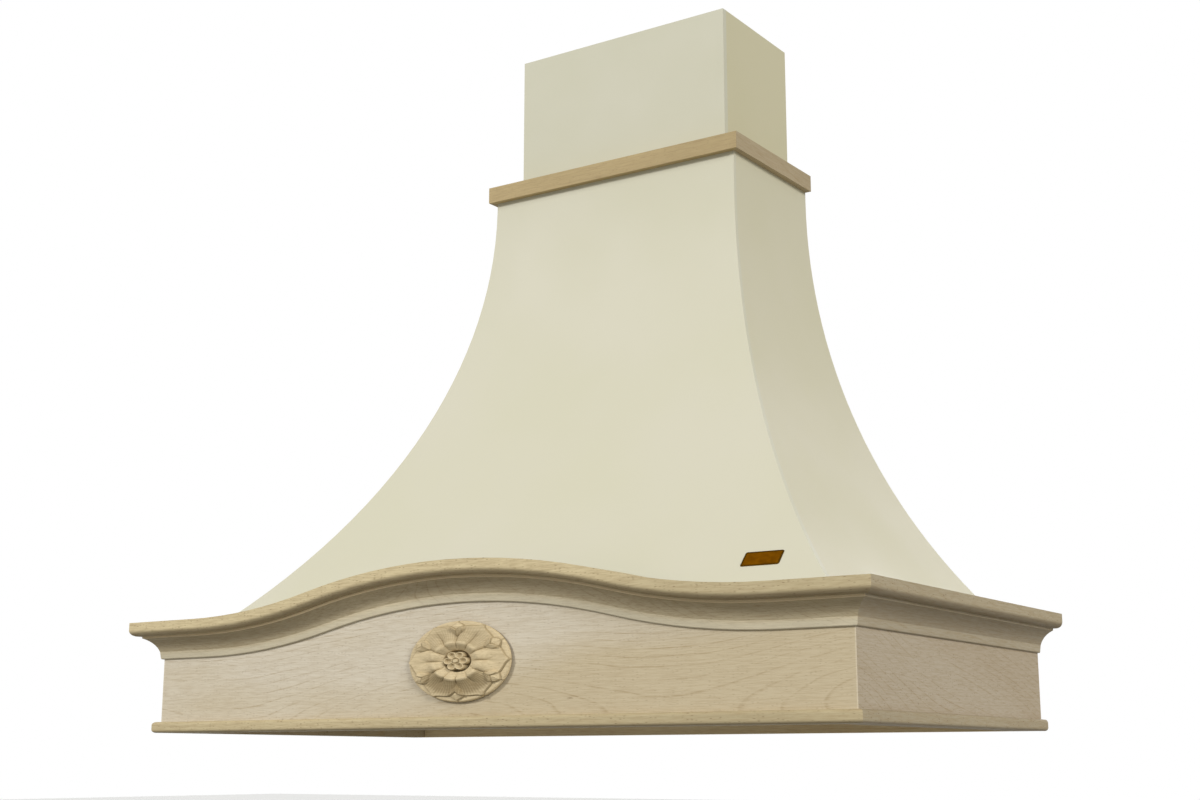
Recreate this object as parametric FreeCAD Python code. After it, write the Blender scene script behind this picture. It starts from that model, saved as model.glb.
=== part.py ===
import FreeCAD
import Part

import math
import os

from FreeCAD import Vector

# Wooden cover for a range hood that hangs on a wall, in millimetres.
#
# A valance of mitred beech boards carries a crown moulding that runs over a wave along the front.
# On a frame inside the valance stands a flared canopy: thin painted sheets bent over curved ribs.
# A painted chimney box stands inside the canopy and slides up through its collar to the ceiling.
#
# X runs along the wall, the wall is the plane Y = 0 with the room towards -Y, and Z points up.
# The origin is the middle of the wall rail's bottom edge.

# ---- Driving dimensions -------------------------------------------------------------------------

# Whole cover, over the crown moulding.
overall_width = 1000.0
overall_depth = 515.5

# Valance boards and the strip they stand on.
board_thickness = 22.0
strip_height = 13.0
strip_overhang = 8.0
strip_inset = 8.0
strip_nose_radius = 4.0

# Crown moulding. Its lower edge is level at the ends and rises in a wave along the front.
moulding_bottom = 89.0
wave_half_span = 390.0
wave_rise = 46.0
cove_height = 27.5
cove_projection = 20.0
cove_hollow = 2.6
cove_lip = 2.2
land_height = 9.0
land_projection = 3.2
land_edge_radius = 1.6
cap_thickness = 16.5
cap_overhang = 31.5
cap_nose_radius = 7.5
cap_to_sheet_gap = 1.0

# Carved oval rosette on the front board.
rosette_width = 140.0
rosette_height = 87.0
rosette_centre_height = 71.5
rosette_rim = 3.2
rosette_relief = 9.0
petal_count = 6
petal_crown = 0.31
petal_crease = 0.13

# Frame inside the valance.
platform_thickness = 18.0
platform_width = 72.0
rail_thickness = 18.0
cleat_width = 18.0
cleat_height = 20.0
shelf_thickness = 16.0
shelf_clearance = 1.0
cutout_width = 500.0
cutout_depth = 270.0
cutout_from_wall = 50.0
cutout_corner_radius = 12.0
corner_block_leg = 40.0

# Screw holes in the two wall rails.
wall_hole_radius = 3.0
lower_hole_spacing = 700.0
lower_hole_height = 66.0
upper_hole_spacing = 240.0

# Canopy sheets, each bent to one arc that ends upright near the top.
canopy_top = 707.0
canopy_top_half_width = 183.9
canopy_top_depth = 192.4
side_curve_below_top = 12.0
front_curve_above_top = 10.0
sheet_thickness = 6.0
sheet_foot_margin = 7.0

# Ribs, formers and rails behind the sheets.
rib_thickness = 18.0
rib_depth = 35.0
front_rib_offset = 120.0
side_rib_offset = 115.0
top_rail_height = 36.0
upper_rail_height = 58.0

# Collar of beech strips on the canopy's top edge.
collar_height = 21.5
collar_overhang = 8.6

# Chimney box, which slides up by its travel.
chimney_set_back_side = 25.5
chimney_set_back_front = 23.7
chimney_wall = 8.0
chimney_bottom = 450.0
chimney_length = 463.0
chimney_travel = 200.0
slide_clearance = 1.5
corner_batten_size = 18.0
back_strip_height = 60.0
back_strip_thickness = 8.0
chimney_hole_radius = 2.5
chimney_hole_spacing = 200.0
stop_cleat_length = 60.0
stop_cleat_height = 20.0
stop_cleat_thickness = 10.0

# ---- Sizes that follow --------------------------------------------------------------------------

board_half = overall_width / 2 - cap_overhang
board_front = overall_depth - cap_overhang
inner_half = board_half - board_thickness
inner_front = board_front - board_thickness

cap_bottom = moulding_bottom + cove_height
cap_top = cap_bottom + cap_thickness
platform_top = cap_bottom
platform_bottom = platform_top - platform_thickness

# The wave is two equal arcs each side of the middle, tangent to each other and level at both ends.
wave_radius = (wave_half_span ** 2 + wave_rise ** 2) / (4 * wave_rise)
wave_angle = math.degrees(math.asin(wave_half_span / 2 / wave_radius))

cleat_top = strip_height + cleat_height
shelf_top = cleat_top + shelf_thickness

top_rail_bottom = canopy_top - top_rail_height
chimney_half = canopy_top_half_width - chimney_set_back_side
chimney_depth = canopy_top_depth - chimney_set_back_front
chimney_top = chimney_bottom + chimney_length
guide_half = chimney_half + slide_clearance
guide_depth = chimney_depth + slide_clearance
hip_batten_size = min(
    canopy_top_half_width - sheet_thickness - guide_half,
    canopy_top_depth - sheet_thickness - guide_depth,
)
collar_half = canopy_top_half_width + collar_overhang
collar_front = canopy_top_depth + collar_overhang
stop_cleat_top = top_rail_bottom - chimney_travel

# A cutting solid runs this far past what it cuts.
past = 5.0


# ---- Plain shapes -------------------------------------------------------------------------------

def box(x0, x1, y0, y1, z0, z1):
    """A block between two corners."""
    return Part.makeBox(x1 - x0, y1 - y0, z1 - z0, Vector(x0, y0, z0))


def flat_face(points):
    """A flat face with straight edges between its corners."""
    return Part.Face(Part.makePolygon(points + [points[0]]))


def prism(points, travel):
    """A flat outline of straight edges, carried along a vector."""
    return flat_face(points).extrude(travel)


def faceted(rings):
    """A solid of flat facets through outlines that have the same number of corners."""
    faces = [flat_face(rings[0]), flat_face(rings[-1])]
    for near, far in zip(rings, rings[1:]):
        for i in range(len(near)):
            faces.append(flat_face([near[i - 1], near[i], far[i], far[i - 1]]))
    return Part.Solid(Part.Shell(faces))


def arc(start, middle, end):
    return Part.Arc(start, middle, end).toShape()


def line(start, end):
    return Part.LineSegment(start, end).toShape()


def face_of(edges):
    return Part.Face(Part.Wire(edges))


def mirrored(shape):
    """The same piece on the other side of the middle plane."""
    return shape.mirror(Vector(0, 0, 0), Vector(1, 0, 0))


def hole_along_wall_normal(x, z, radius, depth):
    return Part.makeCylinder(radius, depth + 2 * past, Vector(x, past, z), Vector(0, -1, 0))


def with_hole_pair(rail, spacing, height, radius, depth):
    """A rail with two screw holes in a level line, square to the wall."""
    for side in (-1, 1):
        rail = rail.cut(hole_along_wall_normal(side * spacing / 2, height, radius, depth))
    return rail


# ---- Valance: profiles carried round three sides and mitred --------------------------------------
# A profile lies in the XZ plane. Its X is the distance out from the boards' face.

def mitre_wedge(side):
    """The space that belongs to the front run, or to the right-hand one, up to the corner mitres."""
    out = cap_overhang + past
    back = inner_half
    low = Vector(0, 0, -past)
    if side == "front":
        points = [
            Vector(-board_half - out, -board_front - out, 0),
            Vector(board_half + out, -board_front - out, 0),
            Vector(board_half - back, -board_front + back, 0),
            Vector(-board_half + back, -board_front + back, 0),
        ]
    else:
        points = [
            Vector(board_half + out, -board_front - out, 0),
            Vector(board_half + out, 0, 0),
            Vector(board_half - back, 0, 0),
            Vector(board_half - back, -board_front + back, 0),
        ]
    height = canopy_top
    return prism([p + low for p in points], Vector(0, 0, height))


def on_front(profile, x):
    """The profile stood across the front run at a given X."""
    placed = profile.copy()
    placed.rotate(Vector(0, 0, 0), Vector(0, 0, 1), -90)
    placed.translate(Vector(x, -board_front, 0))
    return placed


def side_run(profile):
    """The right-hand run, from the wall to the mitre."""
    placed = profile.copy()
    placed.translate(Vector(board_half, 0, 0))
    run = placed.extrude(Vector(0, -board_front - cap_overhang - past, 0))
    return run.common(mitre_wedge("side"))


def straight_front_run(profile):
    reach = board_half + cap_overhang + past
    run = on_front(profile, -reach).extrude(Vector(2 * reach, 0, 0))
    return run.common(mitre_wedge("front"))


def wave_front_run(profile):
    """The front run over the wave: turned pieces of the profile about each arc's centre."""
    reach = board_half + cap_overhang + past
    turn = Vector(0, 1, 0)
    hill_centre = Vector(0, 0, moulding_bottom + wave_rise - wave_radius)
    hill = on_front(profile, 0)
    hill.translate(Vector(0, 0, wave_rise))
    hill.rotate(hill_centre, turn, -wave_angle)
    pieces = [hill.revolve(hill_centre, turn, 2 * wave_angle)]
    for side in (-1, 1):
        valley_centre = Vector(side * wave_half_span, 0, moulding_bottom + wave_radius)
        foot = on_front(profile, side * wave_half_span)
        pieces.append(foot.revolve(valley_centre, turn, side * wave_angle))
        pieces.append(foot.extrude(Vector(side * (reach - wave_half_span), 0, 0)))
    whole = pieces[0].multiFuse(pieces[1:])
    return whole.common(mitre_wedge("front"))


def wave_line(offset, y):
    """Edges of the wave at a height above the moulding's lower edge, from left to right."""
    base = moulding_bottom + offset
    hill_radius = wave_radius + offset
    valley_radius = wave_radius - offset
    hill_centre = moulding_bottom + wave_rise - wave_radius
    valley_centre = moulding_bottom + wave_radius
    full = math.radians(wave_angle)

    def on_hill(angle):
        return Vector(hill_radius * math.sin(angle), y, hill_centre + hill_radius * math.cos(angle))

    def in_valley(side, angle):
        x = side * (wave_half_span - valley_radius * math.sin(angle))
        return Vector(x, y, valley_centre - valley_radius * math.cos(angle))

    return [
        line(Vector(-board_half, y, base), in_valley(-1, 0)),
        arc(in_valley(-1, 0), in_valley(-1, full / 2), in_valley(-1, full)),
        arc(on_hill(-full), on_hill(0), on_hill(full)),
        arc(in_valley(1, full), in_valley(1, full / 2), in_valley(1, 0)),
        line(in_valley(1, 0), Vector(board_half, y, base)),
    ]


def strip_profile():
    """Bottom strip with a rounded nose above and below."""
    nose = strip_overhang
    back = -board_thickness - strip_inset
    r = strip_nose_radius
    bend = r * (1 - math.cos(math.radians(45)))
    h = strip_height
    return face_of([
        line(Vector(back, 0, 0), Vector(nose - r, 0, 0)),
        arc(Vector(nose - r, 0, 0), Vector(nose - bend, 0, bend), Vector(nose, 0, r)),
        line(Vector(nose, 0, r), Vector(nose, 0, h - r)),
        arc(Vector(nose, 0, h - r), Vector(nose - bend, 0, h - bend), Vector(nose - r, 0, h)),
        line(Vector(nose - r, 0, h), Vector(back, 0, h)),
        line(Vector(back, 0, h), Vector(back, 0, 0)),
    ])


def board_profile():
    back = -board_thickness
    return face_of([
        line(Vector(back, 0, strip_height), Vector(0, 0, strip_height)),
        line(Vector(0, 0, strip_height), Vector(0, 0, cap_bottom)),
        line(Vector(0, 0, cap_bottom), Vector(back, 0, cap_bottom)),
        line(Vector(back, 0, cap_bottom), Vector(back, 0, strip_height)),
    ])


def cove_profile():
    """Land with an eased lower edge, then a shallow hollow up to a small square lip."""
    r = land_edge_radius
    bend = r * (1 - math.cos(math.radians(45)))
    low = moulding_bottom
    land_foot = Vector(land_projection, 0, low + r)
    hollow_foot = Vector(land_projection + 1.0, 0, low + land_height)
    hollow_head = Vector(cove_projection, 0, cap_bottom - cove_lip)
    chord = hollow_head - hollow_foot
    into_wood = Vector(-chord.z, 0, chord.x).normalize()
    hollow_middle = (hollow_foot + hollow_head) * 0.5 + into_wood * cove_hollow
    lip = Vector(cove_projection, 0, cap_bottom)
    edge_start = Vector(land_projection - r, 0, low)
    edge_middle = Vector(land_projection - bend, 0, low + bend)
    return face_of([
        line(Vector(0, 0, low), edge_start),
        arc(edge_start, edge_middle, land_foot),
        line(land_foot, hollow_foot),
        arc(hollow_foot, hollow_middle, hollow_head),
        line(hollow_head, lip),
        line(lip, Vector(0, 0, cap_bottom)),
        line(Vector(0, 0, cap_bottom), Vector(0, 0, low)),
    ])


def sheet_behind_boards(height):
    """How far the nearer of the canopy's sheets lies behind the boards' face at a height."""
    beside = board_half - side_flare.reach(height)
    ahead = board_front - front_flare.reach(height)
    return min(beside, ahead)


def cap_profile():
    """Flat-topped cap with a rounded lower nose. Its back edge slopes to stand along the sheets."""
    r = cap_nose_radius
    bend = r * (1 - math.cos(math.radians(45)))
    nose = cap_overhang
    back_low = cap_to_sheet_gap - sheet_behind_boards(cap_bottom)
    back_high = cap_to_sheet_gap - sheet_behind_boards(cap_top)
    return face_of([
        line(Vector(back_low, 0, cap_bottom), Vector(nose - r, 0, cap_bottom)),
        arc(
            Vector(nose - r, 0, cap_bottom),
            Vector(nose - bend, 0, cap_bottom + bend),
            Vector(nose, 0, cap_bottom + r),
        ),
        line(Vector(nose, 0, cap_bottom + r), Vector(nose, 0, cap_top)),
        line(Vector(nose, 0, cap_top), Vector(back_high, 0, cap_top)),
        line(Vector(back_high, 0, cap_top), Vector(back_low, 0, cap_bottom)),
    ])


def front_board():
    """Front board, its top edge cut to the wave under the cap."""
    y = -board_front
    left_foot = Vector(-board_half, y, strip_height)
    right_foot = Vector(board_half, y, strip_height)
    edges = wave_line(cove_height, y)
    edges.append(line(Vector(board_half, y, cap_bottom), right_foot))
    edges.append(line(right_foot, left_foot))
    edges.append(line(left_foot, Vector(-board_half, y, cap_bottom)))
    board = face_of(edges).extrude(Vector(0, board_thickness, 0))
    return board.common(mitre_wedge("front"))


# ---- Rosette ------------------------------------------------------------------------------------

def oval_point(radius, angle, forward, aside=0.0):
    """A point of the rosette: radius and angle of a round flower, drawn out sideways to the oval."""
    stretch = rosette_width / rosette_height
    x = radius * math.cos(angle) - aside * math.sin(angle)
    z = radius * math.sin(angle) + aside * math.cos(angle)
    return Vector(x * stretch, -board_front - forward, z + rosette_centre_height)


def oval_wire(radius, forward):
    """A level oval round the flower, at a distance in front of the board."""
    stretch = rosette_width / rosette_height
    centre = Vector(0, -board_front - forward, rosette_centre_height)
    oval = Part.Ellipse(
        centre + Vector(radius * stretch, 0, 0),
        centre + Vector(0, 0, radius),
        centre,
    )
    return Part.Wire(oval.toShape())


def petal(angle, sections):
    """A carved leaf through cross sections, each with two lobes beside a midrib groove.

    A section is (radius, half width, edge height). The lobes rise from the edge and the midrib
    dips between them in proportion to the width, so every facet of the leaf is flat.
    """
    rings = []
    for radius, half_width, edge in sections:
        lobe = edge + petal_crown * half_width
        midrib = lobe - petal_crease * half_width
        heights = [
            (-half_width, 0.0),
            (-half_width, edge),
            (-0.5 * half_width, lobe),
            (0.0, midrib),
            (0.5 * half_width, lobe),
            (half_width, edge),
            (half_width, 0.0),
        ]
        rings.append([oval_point(radius, angle, forward, aside) for aside, forward in heights])
    return faceted(rings)


def rosette():
    """An oval disc with an eased rim that carries petals, leaf tips and a small centre in a well."""
    r = rosette_height / 2
    high = rosette_relief
    rim = rosette_rim
    petal_sections = [
        (0.20 * r, 0.10 * r, 0.50 * high),
        (0.45 * r, 0.25 * r, 0.52 * high),
        (0.72 * r, 0.33 * r, 0.50 * high),
        (0.86 * r, 0.20 * r, 0.50 * high),
        (0.93 * r, 0.04 * r, 0.48 * high),
    ]
    leaf_sections = [
        (0.50 * r, 0.05 * r, 0.30 * high),
        (0.80 * r, 0.15 * r, 0.38 * high),
        (0.96 * r, 0.02 * r, 0.38 * high),
    ]
    disc_wires = [oval_wire(r, 0), oval_wire(r, 0.6 * rim), oval_wire(0.965 * r, rim)]
    disc = Part.makeLoft(disc_wires, True, True)
    step = 2 * math.pi / petal_count
    carved = []
    for i in range(petal_count):
        carved.append(petal(i * step, petal_sections))
        carved.append(petal((i + 0.5) * step, leaf_sections))
    flower = disc.multiFuse(carved)
    well_wires = [oval_wire(0.2 * r, 0.45 * high), oval_wire(0.25 * r, 1.2 * high)]
    flower = flower.cut(Part.makeLoft(well_wires, True, True))
    button_wires = [oval_wire(0.16 * r, 0.3 * high), oval_wire(0.11 * r, 0.72 * high)]
    return flower.fuse(Part.makeLoft(button_wires, True, True))


# ---- Frame inside the valance -------------------------------------------------------------------

def lower_back_rail():
    """Wall rail between the side boards, notched over the bottom strips."""
    upper = box(-inner_half, inner_half, -rail_thickness, 0, strip_height, platform_bottom)
    foot_half = inner_half - strip_inset
    foot = box(-foot_half, foot_half, -rail_thickness, 0, 0, strip_height)
    rail = upper.fuse(foot).removeSplitter()
    return with_hole_pair(rail, lower_hole_spacing, lower_hole_height, wall_hole_radius, rail_thickness)


def shelf():
    """Bottom panel on its cleats, with a cut-out for the extractor."""
    half = inner_half - shelf_clearance
    front = -inner_front + shelf_clearance
    back = -rail_thickness - shelf_clearance
    panel = box(-half, half, front, back, cleat_top, shelf_top)
    hole = box(
        -cutout_width / 2,
        cutout_width / 2,
        -cutout_from_wall - cutout_depth,
        -cutout_from_wall,
        cleat_top - past,
        shelf_top + past,
    )
    upright = [e for e in hole.Edges if abs(e.BoundBox.ZLength - e.Length) < 1e-6]
    hole = hole.makeFillet(cutout_corner_radius, upright)
    return panel.cut(hole)


def corner_block():
    """Three-cornered glue block in the right-hand front corner, between shelf and platform."""
    x = inner_half
    y = -inner_front
    leg = corner_block_leg
    points = [Vector(x, y, shelf_top), Vector(x - leg, y, shelf_top), Vector(x, y + leg, shelf_top)]
    return prism(points, Vector(0, 0, platform_bottom - shelf_top))


def side_cleat():
    y0 = -inner_front + cleat_width
    y1 = -rail_thickness - cleat_width
    return box(inner_half - cleat_width, inner_half, y0, y1, strip_height, cleat_top)


def side_platform():
    y0 = -inner_front + platform_width
    return box(inner_half - platform_width, inner_half, y0, 0, platform_bottom, platform_top)


# ---- Canopy -------------------------------------------------------------------------------------

class Flare:
    """The bent line of one canopy sheet: upright at its level, an arc down to its foot.

    Reach is the distance out from the middle plane, or from the wall for the front sheet.
    """

    def __init__(self, top_reach, level, foot_reach):
        spread = foot_reach - top_reach
        drop = level - platform_top
        self.level = level
        self.radius = (spread ** 2 + drop ** 2) / (2 * spread)
        self.centre_reach = top_reach + self.radius

    def reach(self, height, inset=0.0):
        """Reach at a height, on a line that lies behind the sheet's outer face by the inset."""
        radius = self.radius + inset
        if height >= self.level:
            return self.centre_reach - radius
        return self.centre_reach - math.sqrt(radius ** 2 - (self.level - height) ** 2)

    def outline(self, inset, low, high):
        """Edges from the foot up to the top, as pairs or triples of (reach, height)."""
        bend_top = min(self.level, high)
        middle = (low + bend_top) / 2
        path = [[(self.reach(z, inset), z) for z in (low, middle, bend_top)]]
        if bend_top < high:
            path.append([(self.reach(z, inset), z) for z in (bend_top, high)])
        return path


def bent_edges(path, place):
    """Turns an outline of pairs and triples into lines and arcs at their place."""
    edges = []
    for points in path:
        corners = [place(reach, height) for reach, height in points]
        edges.append(arc(*corners) if len(corners) == 3 else line(*corners))
    return edges


def side_body(inset, low, high, y0, y1):
    """All that lies between the two side sheets' lines, from y0 to y1."""
    path = side_flare.outline(inset, low, high)
    right = bent_edges(path, lambda reach, height: Vector(reach, y0, height))
    left = bent_edges(path, lambda reach, height: Vector(-reach, y0, height))
    foot = side_flare.reach(low, inset)
    head = side_flare.reach(high, inset)
    bottom = line(Vector(-foot, y0, low), Vector(foot, y0, low))
    top = line(Vector(head, y0, high), Vector(-head, y0, high))
    outline = Part.Wire(Part.__sortEdges__([bottom] + right + [top] + left))
    return Part.Face(outline).extrude(Vector(0, y1 - y0, 0))


def front_body(inset, low, high, x0, x1):
    """All that lies between the wall and the front sheet's line, from x0 to x1."""
    path = front_flare.outline(inset, low, high)
    bent = bent_edges(path, lambda reach, height: Vector(x0, -reach, height))
    foot = Vector(x0, -front_flare.reach(low, inset), low)
    head = Vector(x0, -front_flare.reach(high, inset), high)
    back_low = Vector(x0, 0, low)
    back_high = Vector(x0, 0, high)
    edges = [line(back_low, foot)] + bent + [line(head, back_high), line(back_high, back_low)]
    outline = Part.Wire(Part.__sortEdges__(edges))
    return Part.Face(outline).extrude(Vector(x1 - x0, 0, 0))


def right_half(shape):
    """The part of a shape on the right of the middle plane."""
    return shape.common(box(0, overall_width, -overall_depth, past, -past, chimney_top + past))


def guide_space():
    """The space that the sliding chimney needs, with its running clearance."""
    high = canopy_top + collar_height + past
    return box(-guide_half, guide_half, -guide_depth, past, chimney_bottom, high)


def front_skin():
    outer = front_body(0, platform_top, canopy_top, -inner_half, inner_half)
    inner = front_body(sheet_thickness, platform_top, canopy_top, -inner_half, inner_half)
    between = side_body(0, platform_top, canopy_top, 0, -overall_depth)
    return outer.cut(inner).common(between)


def side_skin():
    outer = side_body(0, platform_top, canopy_top, 0, -overall_depth)
    inner = side_body(sheet_thickness, platform_top, canopy_top, 0, -overall_depth)
    behind_front = front_body(sheet_thickness, platform_top, canopy_top, -inner_half, inner_half)
    return right_half(outer.cut(inner).common(behind_front))


def front_rib(centre):
    """Upright rib behind the front sheet, cut back where the chimney runs."""
    x0 = centre - rib_thickness / 2
    x1 = centre + rib_thickness / 2
    outer = front_body(sheet_thickness, platform_top, top_rail_bottom, x0, x1)
    inner = front_body(sheet_thickness + rib_depth, platform_top, top_rail_bottom, x0, x1)
    return outer.cut(inner).cut(guide_space())


def side_rib(y0, y1):
    """Upright rib behind the right-hand sheet, or the former that closes it at the wall."""
    outer = side_body(sheet_thickness, platform_top, top_rail_bottom, y0, y1)
    inner = side_body(sheet_thickness + rib_depth, platform_top, top_rail_bottom, y0, y1)
    return right_half(outer.cut(inner).cut(guide_space()))


def hip_batten():
    """Square batten in the corner of the sheets, following both curves."""
    low = platform_top
    high = top_rail_bottom
    near = sheet_thickness
    far = sheet_thickness + hip_batten_size
    side = side_body(near, low, high, 0, -overall_depth)
    side = side.cut(side_body(far, low, high, 0, -overall_depth))
    front = front_body(near, low, high, -inner_half, inner_half)
    front = front.cut(front_body(far, low, high, -inner_half, inner_half))
    return right_half(side.common(front))


def top_ring():
    """What fills the canopy's top between the sheets and the chimney's running space."""
    low = top_rail_bottom
    side = side_body(sheet_thickness, low, canopy_top, 0, -overall_depth)
    front = front_body(sheet_thickness, low, canopy_top, -inner_half, inner_half)
    return side.common(front).cut(guide_space())


def top_rail_front():
    ahead = box(-overall_width, overall_width, -overall_depth, -guide_depth, top_rail_bottom, canopy_top)
    return top_ring().common(ahead)


def top_rail_side():
    beside = box(0, overall_width, -guide_depth, 0, top_rail_bottom, canopy_top)
    return top_ring().common(beside)


def upper_back_rail():
    """Wall rail between the two wall formers. The chimney stands on its top edge."""
    low = chimney_bottom - upper_rail_height
    rail = side_body(sheet_thickness + rib_depth, low, chimney_bottom, 0, -rail_thickness)
    middle = chimney_bottom - upper_rail_height / 2
    return with_hole_pair(rail, upper_hole_spacing, middle, wall_hole_radius, rail_thickness)


# ---- Collar and chimney -------------------------------------------------------------------------

def collar_front_strip():
    points = [
        Vector(-collar_half, -collar_front, canopy_top),
        Vector(collar_half, -collar_front, canopy_top),
        Vector(guide_half, -guide_depth, canopy_top),
        Vector(-guide_half, -guide_depth, canopy_top),
    ]
    return prism(points, Vector(0, 0, collar_height))


def collar_side_strip():
    points = [
        Vector(collar_half, -collar_front, canopy_top),
        Vector(collar_half, 0, canopy_top),
        Vector(guide_half, 0, canopy_top),
        Vector(guide_half, -guide_depth, canopy_top),
    ]
    return prism(points, Vector(0, 0, collar_height))


def chimney_front_panel():
    inside = -chimney_depth + chimney_wall
    return box(-chimney_half, chimney_half, -chimney_depth, inside, chimney_bottom, chimney_top)


def chimney_side_panel():
    inside = -chimney_depth + chimney_wall
    return box(chimney_half - chimney_wall, chimney_half, inside, 0, chimney_bottom, chimney_top)


def chimney_corner_batten():
    x1 = chimney_half - chimney_wall
    y0 = -chimney_depth + chimney_wall
    size = corner_batten_size
    return box(x1 - size, x1, y0, y0 + size, chimney_bottom, chimney_top)


def chimney_back_strip(low):
    half = chimney_half - chimney_wall
    return box(-half, half, -back_strip_thickness, 0, low, low + back_strip_height)


def chimney_upper_strip():
    low = chimney_top - back_strip_height
    middle = low + back_strip_height / 2
    strip = chimney_back_strip(low)
    return with_hole_pair(strip, chimney_hole_spacing, middle, chimney_hole_radius, back_strip_thickness)


def stop_cleat():
    """Cleat on the chimney's right side that meets the top rail when the box is drawn right up."""
    middle = -(rail_thickness + side_rib_offset - rib_thickness / 2) / 2
    y0 = middle - stop_cleat_length / 2
    y1 = middle + stop_cleat_length / 2
    x1 = chimney_half + stop_cleat_thickness
    return box(chimney_half, x1, y0, y1, stop_cleat_top - stop_cleat_height, stop_cleat_top)


# ---- Assembly -----------------------------------------------------------------------------------

side_flare = Flare(
    canopy_top_half_width,
    canopy_top - side_curve_below_top,
    inner_half - sheet_foot_margin,
)
front_flare = Flare(
    canopy_top_depth,
    canopy_top + front_curve_above_top,
    inner_front - sheet_foot_margin,
)


def paired(name, right_shape):
    """A right-hand piece and its mirror image."""
    return {name + "_right": right_shape, name + "_left": mirrored(right_shape)}


def build():
    front_cleat_y = -inner_front + cleat_width
    back_cleat_y = -rail_thickness - cleat_width
    platform_front_y = -inner_front + platform_width
    side_rib_y = -side_rib_offset - rib_thickness / 2
    pieces = {
        "valance_front": front_board(),
        "base_strip_front": straight_front_run(strip_profile()),
        "crown_cove_front": wave_front_run(cove_profile()),
        "crown_cap_front": wave_front_run(cap_profile()),
        "rosette": rosette(),
        "lower_back_rail": lower_back_rail(),
        "insert_shelf": shelf(),
        "shelf_cleat_front": box(
            -inner_half, inner_half, -inner_front, front_cleat_y, strip_height, cleat_top),
        "shelf_cleat_back": box(
            -inner_half, inner_half, back_cleat_y, -rail_thickness, strip_height, cleat_top),
        "platform_front": box(
            -inner_half, inner_half, -inner_front, platform_front_y, platform_bottom, platform_top),
        "canopy_front_skin": front_skin(),
        "front_rib_middle": front_rib(0),
        "top_rail_front": top_rail_front(),
        "upper_back_rail": upper_back_rail(),
        "collar_front": collar_front_strip(),
        "chimney_front": chimney_front_panel(),
        "chimney_back_strip_lower": chimney_back_strip(chimney_bottom),
        "chimney_back_strip_upper": chimney_upper_strip(),
    }
    pieces.update(paired("valance", side_run(board_profile())))
    pieces.update(paired("base_strip", side_run(strip_profile())))
    pieces.update(paired("crown_cove", side_run(cove_profile())))
    pieces.update(paired("crown_cap", side_run(cap_profile())))
    pieces.update(paired("shelf_cleat", side_cleat()))
    pieces.update(paired("corner_block", corner_block()))
    pieces.update(paired("platform", side_platform()))
    pieces.update(paired("canopy_skin", side_skin()))
    pieces.update(paired("front_rib", front_rib(front_rib_offset)))
    pieces.update(paired("side_rib", side_rib(side_rib_y, side_rib_y + rib_thickness)))
    pieces.update(paired("wall_former", side_rib(-rail_thickness, 0)))
    pieces.update(paired("hip_batten", hip_batten()))
    pieces.update(paired("top_rail", top_rail_side()))
    pieces.update(paired("collar", collar_side_strip()))
    pieces.update(paired("chimney_side", chimney_side_panel()))
    pieces.update(paired("chimney_corner_batten", chimney_corner_batten()))
    pieces.update(paired("chimney_stop", stop_cleat()))
    return pieces


def single_solid(shape):
    """The piece as one clean solid, with faces that continue each other joined."""
    return shape.removeSplitter().Solids[0]


os.makedirs("parts", exist_ok=True)
for name, shape in build().items():
    if len(shape.Solids) != 1:
        raise ValueError(name + " is in " + str(len(shape.Solids)) + " pieces")
    single_solid(shape).exportStep("parts/" + name + ".step")
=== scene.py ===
"""Looks of a wall-hung wooden range hood cover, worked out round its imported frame.

A beech valance with a crown moulding that runs over a wave, a carved oval rosette, a flared canopy
in cream satin paint and a painted chimney box that slides up through a beech collar.
"""

import math

import bpy
import numpy as np
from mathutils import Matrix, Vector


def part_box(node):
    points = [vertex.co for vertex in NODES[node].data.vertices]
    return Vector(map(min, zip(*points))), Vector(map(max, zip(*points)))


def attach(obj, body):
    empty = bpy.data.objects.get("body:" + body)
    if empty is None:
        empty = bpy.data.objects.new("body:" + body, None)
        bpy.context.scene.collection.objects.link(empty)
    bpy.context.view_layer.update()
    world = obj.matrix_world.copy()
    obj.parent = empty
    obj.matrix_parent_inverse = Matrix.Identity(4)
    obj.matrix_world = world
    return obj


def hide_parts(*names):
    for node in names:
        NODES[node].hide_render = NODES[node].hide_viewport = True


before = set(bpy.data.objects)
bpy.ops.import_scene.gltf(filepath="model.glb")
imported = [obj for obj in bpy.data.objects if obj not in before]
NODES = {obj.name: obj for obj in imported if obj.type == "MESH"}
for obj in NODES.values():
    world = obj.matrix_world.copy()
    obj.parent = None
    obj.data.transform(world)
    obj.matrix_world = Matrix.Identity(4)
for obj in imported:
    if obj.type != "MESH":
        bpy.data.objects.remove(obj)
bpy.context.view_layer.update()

bl_info = {
    "name": "Wooden Range Hood Cover",
    "version": (1, 0, 0),
    "blender": (4, 5, 0),
    "location": "View3D > Sidebar > Hood Cover",
    "description": "Finishes, carving, small fittings and studio for a wooden range hood cover",
    "category": "Object",
}


def linear(code):
    """Linear RGBA of an sRGB hex colour: c / 12.92 up to 0.04045, else ((c + 0.055) / 1.055) ^ 2.4."""
    channels = [int(code[i : i + 2], 16) / 255 for i in (1, 3, 5)]
    return tuple(c / 12.92 if c <= 0.04045 else ((c + 0.055) / 1.055) ** 2.4 for c in channels) + (1.0,)


def tone(name, description, code):
    """A colour that a user may change, written as an sRGB hex value."""
    return bpy.props.FloatVectorProperty(
        name=name, description=description, subtype="COLOR", size=4, min=0.0, max=1.0, default=linear(code)
    )


def length(name, description, metres):
    """A length that a user may change."""
    return bpy.props.FloatProperty(
        name=name, description=description, unit="LENGTH", min=0.0001, default=metres, precision=4
    )


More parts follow.
